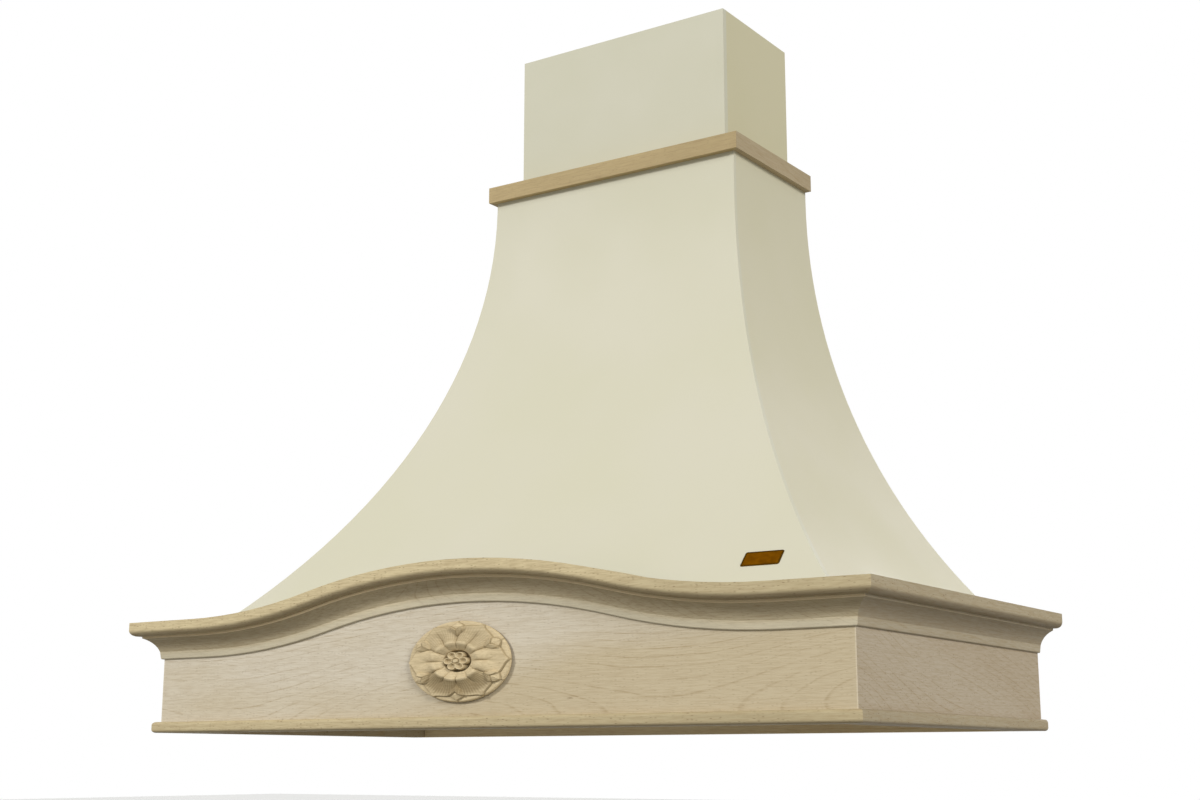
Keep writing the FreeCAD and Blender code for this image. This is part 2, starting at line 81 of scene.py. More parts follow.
def brightness(name, description, level):
    """A level of light that a user may change. At 1 in all, a matt surface shows its own colour."""
    return bpy.props.FloatProperty(name=name, description=description, min=0.0, default=level)


class HoodFinishes(bpy.types.PropertyGroup):
    """Colours of the cover's finishes."""

    paint: tone("Paint", "Cream satin paint of the canopy", "#D1CDB8")
    # Painted light: the canopy's paint, tinted yellower for the warmer light on its sides.
    paint_sides_warm_lit: tone("Paint, sides", "Yellower cream of the canopy's sides", "#D1CBB1")
    paint_high: tone("Chimney paint", "Cream satin paint of the chimney", "#CCC9B4")
    # Painted light: the chimney's paint, tinted yellower for the warmer light on its sides.
    paint_high_sides_warm_lit: tone("Chimney paint, sides", "Yellower cream of the chimney's sides", "#CCC5A4")
    board: tone("Front board", "Pale sanded beech", "#D3C9B5")
    board_warm: tone("Front board, warm", "Warmer patches of the front board", "#C5B697")
    side: tone("Side boards", "Greyer beech of the side boards", "#BDAF98")
    side_warm: tone("Side boards, warm", "Browner patches of the side boards", "#B3A288")
    moulding: tone("Moulding", "Beech of the crown's cap and the bottom strips", "#C9B992")
    cove: tone("Cove", "Greyer beech of the crown's hollow", "#C8BA9A")
    collar: tone("Collar", "Beech strips round the chimney", "#BBA67A")
    carving: tone("Carving", "Tan beech of the rosette", "#D5C29B")
    grain: tone("Grain", "Late wood and fibres", "#A18C69")
    fleck: tone("Flecks", "Ray flecks and pores", "#7E6748")
    # Painted shade: the dark brown of the rosette's hollows, creases and slopes that face down.
    carving_shade: tone("Carving, hollows", "Dusty brown in the rosette's hollows", "#6A5630")
    plate: tone("Plate", "Bronze-coloured plate", "#80540C")


class HoodSizes(bpy.types.PropertyGroup):
    """Sizes of the pieces that are made here."""

    relief: length("Relief", "Height of the rosette's carving over its back", 0.0130)
    rim: length("Rim", "Thickness of the rosette's plain rim", 0.0056)
    plate_width: length("Plate width", "Width of the blank plate", 0.0450)
    plate_height: length("Plate height", "Height of the blank plate", 0.0215)
    plate_thickness: length("Plate thickness", "Thickness of the blank plate", 0.0009)
    screw_head: length("Screw head", "Diameter of the cleats' countersunk screws", 0.0080)
    ring: length("Growth rings", "Spacing of the beech's growth rings", 0.0050)


class HoodStudio(bpy.types.PropertyGroup):
    """Camera and light."""

    lens: bpy.props.FloatProperty(
        name="Lens", description="Focal length on a 36 mm sensor", unit="CAMERA", default=50.65
    )
    key: brightness("Key light", "Level of the soft lamp, front left", 0.52)
    fill: brightness("Fill light", "Level of the soft lamp, right", 0.57)
    back: brightness("Back light", "Level of the soft lamp, behind", 0.35)
    sky: brightness("Room light", "Level of the light from all round", 0.33)
    hang: length("Floor below", "How far the floor lies below the cover", 1.55)


# ---- Materials ----------------------------------------------------------------------------------


def add(tree, kind, inputs=(), **settings):
    """Adds a node. Inputs are values, or the sockets that they come from: a plain row of them fills the
    node's sockets in order, and a dict names them, or numbers them where one name stands for two. A
    Map Range's row is value, from low, from high, to low, to high. A Mix has its share at 0, numbers
    at 2 and 3 and colours at 6 and 7. Settings are the node's attributes."""
    node = tree.nodes.new(kind)
    for name, value in settings.items():
        setattr(node, name, value)
    for key, value in inputs.items() if isinstance(inputs, dict) else enumerate(inputs):
        if isinstance(value, bpy.types.NodeSocket):
            tree.links.new(value, node.inputs[key])
        else:
            node.inputs[key].default_value = value
    return node


def blank_material(name):
    """A new material with an empty node tree and its output node."""
    material = bpy.data.materials.new(name)
    material.use_nodes = True
    material.node_tree.nodes.clear()
    return material, material.node_tree, add(material.node_tree, "ShaderNodeOutputMaterial")


# Turns that bring the pattern's own X axis to the way the fibres run.
GRAIN = {"X": (0.0, 0.0, 0.0), "Y": (0.0, 0.0, math.pi / 2), "Z": (0.0, -math.pi / 2, 0.0)}

# How often the wood's patterns repeat in a metre, along the grain and on the two axes across it. The
# real pores, 0.05 mm wide, are finer than the render shows, so flecks and fibres are drawn about
# 0.8 mm wide.
SHORT_FIBRES = (58.0, 900.0, 900.0)
LONG_FIBRES = (9.0, 460.0, 460.0)
FLECKS = (190.0, 1000.0, 1000.0)
BENDS = (3.0, 12.0, 12.0)
FADED_LINES = (5.0, 34.0, 34.0)
WARM_PATCHES = (1.6, 9.0, 9.0)

# The most that a slow noise shifts the fibres and the rings, in metres along and across the grain.
FIBRE_SHIFT = (0.0, 0.010, 0.010)
RING_SHIFT = (0.0, 0.016, 0.016)

# Painted shade: the dark brown that faces looking down are mixed towards.
UNDERSIDE_SHADE = "#5C4D36"


def fibres(tree, at):
    """Fibres as noise drawn out along the grain: two parts of a short one, 17 mm long, and one part of
    a long one. Gives both together, from 0 to 1, and the short ones alone."""
    drawn = add(tree, "ShaderNodeMapping", {"Vector": at, "Scale": SHORT_FIBRES}).outputs[0]
    short = add(tree, "ShaderNodeTexNoise", {"Vector": drawn, "Scale": 1.0, "Detail": 2.0, "Roughness": 0.6})
    drawn = add(tree, "ShaderNodeMapping", {"Vector": at, "Scale": LONG_FIBRES}).outputs[0]
    long = add(tree, "ShaderNodeTexNoise", {"Vector": drawn, "Scale": 1.0, "Detail": 3.0, "Roughness": 0.6})
    short, long = short.outputs["Fac"], long.outputs["Fac"]
    both = add(tree, "ShaderNodeMix", {0: 0.33, 2: short, 3: long}, data_type="FLOAT").outputs[0]
    return add(tree, "ShaderNodeMapRange", (both, 0.42, 0.62, 0.0, 1.0)).outputs[0], short


def late_wood(tree, at, ring, strength, short):
    """Growth rings as cylinders about the X axis. Each ends in a thin darker line, which a broad noise
    fades to a tenth in places and the short fibres break up."""
    # A ring pattern of scale s repeats every 2 pi / (20 s) metres.
    rings = add(
        tree, "ShaderNodeTexWave", {"Vector": at, "Scale": math.pi / (10 * ring), "Distortion": 0.0},
        wave_type="RINGS", rings_direction="X", wave_profile="SAW",
    ).outputs["Fac"]
    rise = add(
        tree, "ShaderNodeMapRange", (rings, 0.70, 0.95, 0.0, 1.0), interpolation_type="SMOOTHSTEP"
    ).outputs[0]
    fall = add(tree, "ShaderNodeMapRange", (rings, 0.95, 1.0, 1.0, 0.0)).outputs[0]
    line = add(tree, "ShaderNodeMath", (rise, 3.5), operation="POWER").outputs[0]
    line = add(tree, "ShaderNodeMath", (line, fall), operation="MULTIPLY").outputs[0]
    broad = add(tree, "ShaderNodeMapping", {"Vector": at, "Scale": FADED_LINES}).outputs[0]
    patch = add(tree, "ShaderNodeTexNoise", {"Vector": broad, "Scale": 1.0, "Detail": 2.0}).outputs["Fac"]
    fading = add(tree, "ShaderNodeMapRange", (patch, 0.38, 0.60, 0.1 * strength, strength)).outputs[0]
    broken = add(tree, "ShaderNodeMapRange", (short, 0.36, 0.60, 0.30, 1.4)).outputs[0]
    line = add(tree, "ShaderNodeMath", (line, fading), operation="MULTIPLY").outputs[0]
    return add(tree, "ShaderNodeMath", (line, broken), operation="MULTIPLY").outputs[0]


def ray_flecks(tree, at):
    """Short dark spindles, one in about every third cell of a cell pattern and of uneven strength."""
    spots = add(tree, "ShaderNodeMapping", {"Vector": at, "Scale": FLECKS}).outputs[0]
    cells = add(tree, "ShaderNodeTexVoronoi", {"Vector": spots, "Scale": 1.0})
    spindle = add(tree, "ShaderNodeMapRange", (cells.outputs["Distance"], 0.16, 0.38, 1.0, 0.0)).outputs[0]
    chosen = add(tree, "ShaderNodeSeparateColor", (cells.outputs["Color"],)).outputs[0]
    chosen = add(tree, "ShaderNodeMapRange", (chosen, 0.66, 0.95, 0.0, 1.0)).outputs[0]
    return add(tree, "ShaderNodeMath", (spindle, chosen), operation="MULTIPLY").outputs[0]


def timber(
    name, tones, grain, pith, lean, ring, depths, bow=(0, 0.5, 0), drift=0.0, under=None, painted_highlights=(), knot=None,
    hollow=False,
):
    """Planed and sanded wood, drawn in the solid so that it follows every cut through the piece: to the
    eye pale and matt, with fine fibres, short flecks and thin arched lines.

    Growth rings stand about the pith, which leans from the grain's line. The trunk's bow (size, length
    of one wave, phase) and a slow noise bend it, which gives the arched figure of a flat-sawn board.
    Tones are pale, warm, late wood and fleck; depths are how strongly lines, fibres and flecks show.
    Drift turns the wood warmer along the grain, per metre. Under is how much painted shade darkens faces
    that look down, and between which slopes. Each painted highlight has an axis, the distances from the
    middle plane or the wall at which it starts and is full, its share and its colour. Knot is a pin
    knot's place. A hollow one takes painted shade where the piece's own attribute "hollow" says.
    """
    material, tree, output = blank_material(name)
    place_of = add(tree, "ShaderNodeTexCoord")
    at = place_of.outputs["Object"]
    straight = add(
        tree, "ShaderNodeMapping", {"Vector": at, "Location": pith, "Rotation": GRAIN[grain]},
        vector_type="TEXTURE",
    ).outputs[0]
    turn = tuple(math.radians(a) for a in lean)
    leaned = add(
        tree, "ShaderNodeMapping", {"Vector": straight, "Rotation": turn}, vector_type="TEXTURE"
    ).outputs[0]

    slow = add(tree, "ShaderNodeMapping", {"Vector": straight, "Scale": BENDS}).outputs[0]
    sway = add(tree, "ShaderNodeTexNoise", {"Vector": slow, "Scale": 1.0, "Detail": 3.0}).outputs["Color"]
    stray = add(tree, "ShaderNodeTexNoise", {"Vector": slow, "Scale": 1.0, "Detail": 0.0}).outputs["Color"]
    fibrous = add(
        tree, "ShaderNodeVectorMath", (stray, FIBRE_SHIFT, straight), operation="MULTIPLY_ADD"
    ).outputs[0]
    size, wave, phase = bow
    along = add(tree, "ShaderNodeSeparateXYZ", (leaned,)).outputs["X"]
    turns = 2 * math.pi / wave
    swing = add(tree, "ShaderNodeMath", (along, turns, phase), operation="MULTIPLY_ADD").outputs[0]
    swing = add(tree, "ShaderNodeMath", (swing,), operation="SINE").outputs[0]
    swing = add(tree, "ShaderNodeMath", (swing, size), operation="MULTIPLY").outputs[0]
    swing = add(tree, "ShaderNodeCombineXYZ", {"Y": swing}).outputs[0]
    bowed = add(tree, "ShaderNodeVectorMath", (leaned, swing), operation="ADD").outputs[0]
    bent = add(tree, "ShaderNodeVectorMath", (sway, RING_SHIFT, bowed), operation="MULTIPLY_ADD").outputs[0]

    fibre, short = fibres(tree, fibrous)
    fibre_part = add(tree, "ShaderNodeMath", (fibre, depths[1]), operation="MULTIPLY").outputs[0]
    late = late_wood(tree, bent, ring, depths[0], short)
    flecks = ray_flecks(tree, straight)
    fleck_part = add(tree, "ShaderNodeMath", (flecks, depths[2]), operation="MULTIPLY").outputs[0]

    warm = add(tree, "ShaderNodeMapping", {"Vector": bent, "Scale": WARM_PATCHES}).outputs[0]
    warm = add(tree, "ShaderNodeTexNoise", {"Vector": warm, "Scale": 1.0, "Detail": 2.0}).outputs["Fac"]
    warm = add(tree, "ShaderNodeMapRange", (warm, 0.38, 0.62, 0.0, 1.0)).outputs[0]
    warm = add(
        tree, "ShaderNodeMath", (along, drift, warm), operation="MULTIPLY_ADD", use_clamp=True
    ).outputs[0]
    colour = add(tree, "ShaderNodeMix", {0: warm, 6: tones[0], 7: tones[1]}, data_type="RGBA").outputs[2]
    for part, target in ((late, tones[2]), (fibre_part, tones[2]), (fleck_part, tones[3])):
        colour = add(tree, "ShaderNodeMix", {0: part, 6: colour, 7: target}, data_type="RGBA").outputs[2]
    if under:
        # Painted shade: faces that look down, such as a moulding's hollow and undersides, are mixed towards a
        # dark brown.
        share, below, level = under
        down = add(tree, "ShaderNodeSeparateXYZ", (place_of.outputs["Normal"],)).outputs["Z"]
        down = add(
            tree, "ShaderNodeMapRange", (down, below, level, share, 0.0), interpolation_type="SMOOTHSTEP"
        ).outputs[0]
        brown = linear(UNDERSIDE_SHADE)
        colour = add(tree, "ShaderNodeMix", {0: down, 6: colour, 7: brown}, data_type="RGBA").outputs[2]
    for axis, start, full, share, tint in painted_highlights:
        # Painted highlights: edges and flats that catch the light are painted paler than the rest.
        side = add(tree, "ShaderNodeSeparateXYZ", (at,)).outputs[axis]
        side = add(tree, "ShaderNodeMath", (side,), operation="ABSOLUTE").outputs[0]
        pale = add(tree, "ShaderNodeMapRange", (side, start, full, 0.0, share)).outputs[0]
        tint = linear(tint)
        colour = add(tree, "ShaderNodeMix", {0: pale, 6: colour, 7: tint}, data_type="RGBA").outputs[2]
    if knot:
        # A dark spindle about 9 mm long and 1.6 mm high.
        half = (0.0045, 0.02, 0.0008)
        near = add(
            tree, "ShaderNodeMapping", {"Vector": at, "Location": knot, "Scale": half}, vector_type="TEXTURE"
        ).outputs[0]
        near = add(tree, "ShaderNodeVectorMath", (near,), operation="LENGTH").outputs["Value"]
        near = add(tree, "ShaderNodeMapRange", (near, 0.3, 1.1, 0.75, 0.0)).outputs[0]
        colour = add(tree, "ShaderNodeMix", {0: near, 6: colour, 7: tones[3]}, data_type="RGBA").outputs[2]
    if hollow:
        # Painted shade: a carving is darker where its attribute says, in its hollows and creases and on
        # slopes that face down.
        depth = add(tree, "ShaderNodeAttribute", attribute_name="hollow").outputs["Fac"]
        colour = add(tree, "ShaderNodeMix", {0: depth, 6: colour, 7: tones[3]}, data_type="RGBA").outputs[2]

    dents = add(tree, "ShaderNodeMath", (flecks, -0.8, fibre), operation="MULTIPLY_ADD").outputs[0]
    bump = add(tree, "ShaderNodeBump", {"Height": dents, "Strength": 0.5, "Distance": 0.00012}).outputs[0]
    rough = add(tree, "ShaderNodeMapRange", (fibre, 0.0, 1.0, 0.60, 0.74)).outputs[0]
    shader = add(
        tree, "ShaderNodeBsdfPrincipled",
        {"Base Color": colour, "Roughness": rough, "Normal": bump, "Specular IOR Level": 0.2},
    )
    tree.links.new(shader.outputs[0], output.inputs[0])
    return material


def satin_paint(name, colour):
    """Sprayed satin acrylic on bent board: an even cream coat with a faint orange peel of 1.6 mm and
    slow, barely visible changes of tone. Satin gives the eye a broad soft sheen and no reflections."""
    material, tree, output = blank_material(name)
    thin = tuple(c * k for c, k in zip(colour, (0.985, 0.99, 0.96, 1.0)))
    at = add(tree, "ShaderNodeTexCoord").outputs["Object"]
    coat = add(tree, "ShaderNodeTexNoise", {"Vector": at, "Scale": 5.0, "Detail": 3.0}).outputs["Fac"]
    coat = add(tree, "ShaderNodeMapRange", (coat, 0.38, 0.66, 0.0, 1.0)).outputs[0]
    colour = add(tree, "ShaderNodeMix", {0: coat, 6: colour, 7: thin}, data_type="RGBA").outputs[2]
    peel = add(tree, "ShaderNodeTexNoise", {"Vector": at, "Scale": 625.0, "Detail": 1.0}).outputs["Fac"]
    wave = add(tree, "ShaderNodeTexNoise", {"Vector": at, "Scale": 28.0, "Detail": 1.0}).outputs["Fac"]
    height = add(tree, "ShaderNodeMath", (wave, 4.0, peel), operation="MULTIPLY_ADD").outputs[0]
    bump = add(tree, "ShaderNodeBump", {"Height": height, "Strength": 0.35, "Distance": 0.00006}).outputs[0]
    rough = add(tree, "ShaderNodeMapRange", (coat, 0.0, 1.0, 0.50, 0.58)).outputs[0]
    shader = add(
        tree, "ShaderNodeBsdfPrincipled",
        {"Base Color": colour, "Roughness": rough, "Normal": bump, "Specular IOR Level": 0.2},
    )
    tree.links.new(shader.outputs[0], output.inputs[0])
    return material


def birch_plywood(name, across, face_at):
    """Sanded birch plywood: peeled faces with a faint wild figure, and edges of thin veneers whose
    fibres cross, which the eye reads as fine light and dark lines 1.4 mm thick."""
    face, figured, veneer, grit = (linear(code) for code in ("#DCC79F", "#D0B88B", "#B08C5C", "#9A7B50"))
    veneer_pair = 0.00279
    material, tree, output = blank_material(name)
    place_of = add(tree, "ShaderNodeTexCoord")
    at = add(
        tree, "ShaderNodeMapping", {"Vector": place_of.outputs["Object"], "Location": face_at},
        vector_type="TEXTURE",
    ).outputs[0]
    # Bands of scale s repeat every 2 pi / (20 s) metres.
    plies = add(
        tree, "ShaderNodeTexWave", {"Vector": at, "Scale": math.pi / (10 * veneer_pair), "Distortion": 0.0},
        bands_direction=across, wave_profile="SIN",
    ).outputs["Fac"]
    plies = add(tree, "ShaderNodeMapRange", (plies, 0.40, 0.62, 0.0, 1.0)).outputs[0]
    # The veneers show on the sheet's edges only, not on its two faces.
    square = add(tree, "ShaderNodeSeparateXYZ", (place_of.outputs["Normal"],)).outputs[across]
    square = add(tree, "ShaderNodeMath", (square,), operation="ABSOLUTE").outputs[0]
    cut = add(tree, "ShaderNodeMapRange", (square, 0.85, 0.95, 1.0, 0.0)).outputs[0]
    plies = add(tree, "ShaderNodeMath", (plies, cut), operation="MULTIPLY").outputs[0]
    speck = add(tree, "ShaderNodeTexNoise", {"Vector": at, "Scale": 900.0, "Detail": 2.0}).outputs["Fac"]
    veil = add(
        tree, "ShaderNodeTexNoise", {"Vector": at, "Scale": 9.0, "Detail": 4.0, "Distortion": 1.6}
    ).outputs["Fac"]
    veil = add(tree, "ShaderNodeMapRange", (veil, 0.35, 0.65, 0.0, 1.0)).outputs[0]
    specks = add(tree, "ShaderNodeMapRange", (speck, 0.5, 0.75, 0.0, 0.35)).outputs[0]
    colour = face
    for part, target in ((veil, figured), (plies, veneer), (specks, grit)):
        colour = add(tree, "ShaderNodeMix", {0: part, 6: colour, 7: target}, data_type="RGBA").outputs[2]
    bump = add(tree, "ShaderNodeBump", {"Height": speck, "Strength": 0.4, "Distance": 0.0001}).outputs[0]
    shader = add(
        tree, "ShaderNodeBsdfPrincipled",
        {"Base Color": colour, "Roughness": 0.68, "Normal": bump, "Specular IOR Level": 0.35},
    )
    tree.links.new(shader.outputs[0], output.inputs[0])
    return material


def brushed_metal(name, colour, rough, stroke, edge_colour=None):
    """Metal with fine strokes, or grains where the stroke is as short on every axis, and a slight
    change of gloss, which give the eye a dull, uneven shine. Stroke is how often they repeat in a
    metre on each axis. One with an edge colour takes it where the piece's own attribute "edge" says."""
    material, tree, output = blank_material(name)
    at = add(tree, "ShaderNodeTexCoord").outputs["Object"]
    drawn = add(tree, "ShaderNodeMapping", {"Vector": at, "Scale": stroke}).outputs[0]
    lines = add(tree, "ShaderNodeTexNoise", {"Vector": drawn, "Scale": 1.0, "Detail": 2.0}).outputs["Fac"]
    gloss = add(tree, "ShaderNodeMapRange", (lines, 0.3, 0.7, rough - 0.06, rough + 0.08)).outputs[0]
    darker = tuple(0.72 * c for c in colour[:3]) + (1.0,)
    worn = add(tree, "ShaderNodeTexNoise", {"Vector": at, "Scale": 160.0, "Detail": 2.0}).outputs["Fac"]
    worn = add(tree, "ShaderNodeMapRange", (worn, 0.35, 0.7, 0.0, 1.0)).outputs[0]
    base = add(tree, "ShaderNodeMix", {0: worn, 6: colour, 7: darker}, data_type="RGBA").outputs[2]
    if edge_colour:
        edge = add(tree, "ShaderNodeAttribute", attribute_name="edge").outputs["Fac"]
        base = add(tree, "ShaderNodeMix", {0: edge, 6: base, 7: edge_colour}, data_type="RGBA").outputs[2]
    bump = add(tree, "ShaderNodeBump", {"Height": lines, "Strength": 0.3, "Distance": 0.00003}).outputs[0]
    shader = add(
        tree, "ShaderNodeBsdfPrincipled",
        {"Base Color": base, "Metallic": 1.0, "Roughness": gloss, "Normal": bump, "Specular Tint": colour},
    )
    tree.links.new(shader.outputs[0], output.inputs[0])
    return material


def finish_nodes(material, *names):
    """Gives CAD pieces one material, in every slot they have."""
    for name in names:
        for slot in NODES[name].material_slots:
            slot.material = material


# ---- Surfaces -----------------------------------------------------------------------------------


def place(uvh, origin, right, up):
    """Points of a relief: origin + u right + v up + h (right x up)."""
    right, up = np.array(right, float), np.array(up, float)
    axes = np.stack([right, up, np.cross(right, up)])
    return np.array(origin, float) + uvh @ axes


def closed_skin(rings, first, last):
    """Points and faces of a closed surface: loops of equal length, with a pole before and after. The
    faces are three arrays: four-sided ones between the loops, and the triangles round each pole."""
    count, around = rings.shape[:2]
    points = np.concatenate([rings.reshape(-1, 3), [first, last]])
    here = np.arange(count * around).reshape(count, around)
    there = np.roll(here, -1, axis=1)
    quads = np.stack([here[:-1], here[1:], there[1:], there[:-1]], axis=-1).reshape(-1, 4)
    poles = np.full(around, count * around)
    start = np.stack([poles, here[0], there[0]], axis=-1)
    end = np.stack([poles + 1, there[-1], here[-1]], axis=-1)
    return points, (quads, start, end)


def new_piece(name, points, faces, material, body, crease=None):
    """A mesh object at the origin that rides on a body. Edges sharper than the crease stay sharp."""
    mesh = bpy.data.meshes.new(name)
    mesh.from_pydata(points, [], sum((part.tolist() for part in faces), []))
    mesh.shade_smooth()
    if crease is not None:
        mesh.set_sharp_from_angle(angle=math.radians(crease))
    mesh.materials.append(material)
    piece = bpy.data.objects.new(name, mesh)
    bpy.context.scene.collection.objects.link(piece)
    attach(piece, body)
    return piece


def ease(t):
    """Smooth step from 0 to 1: 3 t^2 - 2 t^3, with t held between 0 and 1."""
    t = np.clip(t, 0.0, 1.0)
    return t * t * (3.0 - 2.0 * t)


def soft_least(a, b, softness):
    """The smaller of two, rounded where they meet: -s ln(exp(-a / s) + exp(-b / s))."""
    return -softness * np.logaddexp(-a / softness, -b / softness)


def sixfold(theta, offset):
    """Angle from the nearest of six axes, 60 degrees apart."""
    step = math.pi / 3
    return (theta - offset + step / 2) % step - step / 2


def leaf_tips(rho, theta, height, relief, rim):
    """Lays six ridged leaf tips on the disc, between the petals, and paints shade along their outlines.

    With x along a leaf and y across it, reach runs from 0 at x = 0.60 to 1 at x = 0.96, and half a
    leaf is 0.14 sin(pi reach^1.3)^0.8 wide. It climbs over the first 0.62 of its reach, falls to its
    tip and has a straight-sided ridge along its middle.
    """
    phi = sixfold(theta, math.pi / 6)
    x, y = rho * np.cos(phi), np.abs(rho * np.sin(phi))
    reach = np.clip((x - 0.60) / 0.36, 0.0, 1.0)
    width = 0.140 * np.sin(math.pi * reach**1.3) ** 0.8 + 1e-4
    inside = 0.8 * (width - y)
    rise = np.interp(reach, [0.0, 0.30, 0.62, 1.0], [0.0, 0.22, 0.46, 0.12])
    leaf = rim + (relief - rim) * (rise + 0.26 * (1.0 - np.clip(y / width, 0.0, 1.0)))
    on_leaf = ease(inside / 0.012)
    hollow = 0.8 * np.exp(-((np.abs(inside) / 0.012) ** 2)) * (rho > 0.70)
    return height + on_leaf * np.maximum(leaf - height, 0.0), hollow


def petals(rho, theta, height, hollow, relief):
    """Lays six petals over the disc and its leaves.

    With x along a petal and y across it, half a petal is the least of 0.577 x (its neighbour),
    0.375 - 0.13 (x - 0.64) (its flank) and (0.945 - x) / 0.43 (its tip, drawn out to a point) wide,
    rounded where these meet. All petals climb straight out of the well to a crest at radius 0.45 and
    fall off it as an exponential. Across a petal, each half is a round bulge, the upper half of an
    ellipse from the crease in its middle to the valley at its side. Fine tool marks run outwards from
    the crest on the upper and lower petals. Painted shade darkens the outlines, folds and tool marks,
    and most of all the slopes that face down.
    """
    crest, tip = 0.45, 0.945
    phi = sixfold(theta, 0.0)
    x, y = rho * np.cos(phi), np.abs(rho * np.sin(phi))
    point = 0.035 * np.exp(-((y / 0.06) ** 2))
    side = 0.375 - 0.13 * (x - 0.64)
    rounded = soft_least(side, (tip + point - x) / 0.43, 0.05) + 0.018
    width = np.maximum(soft_least(0.577 * x, rounded, 0.02), 0.001)
    across = y / width
    # Distances inside the tip and the flank: 1.09 and 1.01 are about the roots of 1 + slope squared.
    end = (tip + point - x - 0.43 * y) / 1.09
    flank = (side - y) / 1.01
    inside = soft_least(end, flank, 0.05) + 0.012

    climb = 0.46 + 0.54 * (rho - 0.25) / (crest - 0.25)
    descent = 0.44 + 0.56 * np.exp(-(rho - crest) / 0.20)
    lower, upper = ease((-np.sin(theta) - 0.35) / 0.35), ease((np.sin(theta) - 0.35) / 0.35)
    bend = 0.035 + 0.055 * (1.0 - lower)
    hill = soft_least(climb, descent, bend) + 0.65 * bend
    crease = np.interp(rho, [0.27, 0.36, 0.46, 0.70, 0.92], [0.05, 0.20, 0.30, 0.24, 0.03])
    valley = np.interp(rho, [0.26, 0.36, 0.46, 0.70, 0.95], [0.04, 0.18, 0.32, 0.30, 0.10])
    sunk = 1.0 - np.sqrt(1.0 - np.clip((across - 0.5) / 0.515, -1.0, 1.0) ** 2)
    fold = np.where(across < 0.5, crease, valley) * sunk
    outer = ease((rho - 0.46) / 0.06) * (1.0 - 0.7 * ease((rho - 0.74) / 0.16))
    marks = outer * (lower + 0.4 * upper) * (0.5 + 0.5 * np.cos(96.0 * theta))
    petal = relief * (hill - fold - 0.012 * marks)
    on_petal = ease(inside / 0.011)
    lift = np.maximum(petal - height, 0.16 * relief)

    # Painted shade: dark are the outline, the folds, the tool marks, the upper and lower petals beyond
    # the crest and the upper ones' way down into the well, most where the carving faces down.
    outline = 0.8 * np.exp(-(((inside + 0.004) / 0.012) ** 2))
    funnel = upper * (1.0 - ease((rho - 0.34) / 0.14))
    shade = 4.2 * fold * sunk**1.5 + outer * (0.75 * lower + 0.28 * upper) + 0.40 * funnel + 0.55 * marks
    hollow = np.maximum(np.maximum(hollow * (1.0 - on_petal), outline), on_petal * shade)
    return height + on_petal * lift, hollow


def inner_flower(rho, theta, height, hollow, relief):
    """Sinks a round well in the middle, with a small flower of six hollowed lobes round a button.

    The lobes' outline is 0.160 + 0.086 |cos 3 theta|^0.6. Each lobe is cupped between its edge and
    the button, which stands in a ring-shaped groove.
    """
    bank = ease((rho - 0.252) / 0.025)
    lobe = np.abs(np.cos(3.0 * theta))
    outline = 0.160 + 0.086 * lobe**0.6
    well = 0.26 * relief
    inner = ease((outline - rho) / 0.014)
    cup = lobe**1.5 * ease((rho - 0.075) / 0.035) * ease((outline - 0.026 - rho) / 0.035)
    button = ease((0.058 - rho) / 0.02)
    seat = ease((0.085 - rho) / 0.02) * (1.0 - button)
    centre = well + inner * (relief * (0.86 - 0.22 * cup - 0.14 * seat + 0.06 * button) - well)
    # Painted shade in the well round the small flower, in its lobes' cups and in the button's groove.
    carving_shade = (1.0 - bank) * np.maximum(1.0 - inner, 0.4 * cup + 0.5 * seat)
    hollow = np.where(rho < 0.28, np.maximum(carving_shade, hollow * bank), hollow)
    return height * bank + centre * (1.0 - bank), hollow


def carved_flower(rho, theta, relief, rim):
    """Height of the rosette over its back, and its painted shade, at a radius of 0 to 1 and an angle.

    The disc has a plain rim that rounds off as a quarter of an ellipse at its edge. Leaf tips, petals
    and the small flower in the well are carved on it in turn.
    """
    roll = np.clip((1.0 - rho) / 0.05, 0.0, 1.0)
    disc = rim * (0.55 + 0.45 * np.sqrt(1.0 - (1.0 - roll) ** 2))
    height, hollow = leaf_tips(rho, theta, disc, relief, rim)
    height, hollow = petals(rho, theta, height, hollow, relief)
    height, hollow = inner_flower(rho, theta, height, hollow, relief)
    return height, np.clip(hollow, 0.0, 1.0)


def rounded_loops(width, height, corner, profile, around):
    """Loops of a rounded rectangle, one for each margin and lift of a profile: four quarter circles
    joined by straight sides. Their radius is the corner's less the margin, and 0.4 mm at least."""
    least = 0.0004
    turn = np.linspace(0.0, math.pi / 2, around)
    loops = []
    for margin, lift in profile:
        bend = max(corner - margin, least)
        quarters = []
        for quarter, (right, up) in enumerate(((1, 1), (-1, 1), (-1, -1), (1, -1))):
            angle = turn + quarter * math.pi / 2
            quarters.append(np.stack([
                right * (width / 2 - margin - bend) + bend * np.cos(angle),
                up * (height / 2 - margin - bend) + bend * np.sin(angle),
                np.full(around, lift),
            ], axis=-1))
        loops.append(np.concatenate(quarters))
    return np.array(loops)


def countersunk_head(rho, theta, radius):
    """Height of a screw head: a low dome 0.1 radius high with a cross recess 0.45 radius deep."""
    x, y = np.abs(rho * np.cos(theta)), np.abs(rho * np.sin(theta))
    arm = np.minimum(np.maximum(x / 0.16, y / 0.60), np.maximum(x / 0.60, y / 0.16))
    return radius * (0.10 * (1.0 - rho**2) - 0.45 * ease((1.15 - arm) / 0.3))


# ---- Operators ----------------------------------------------------------------------------------


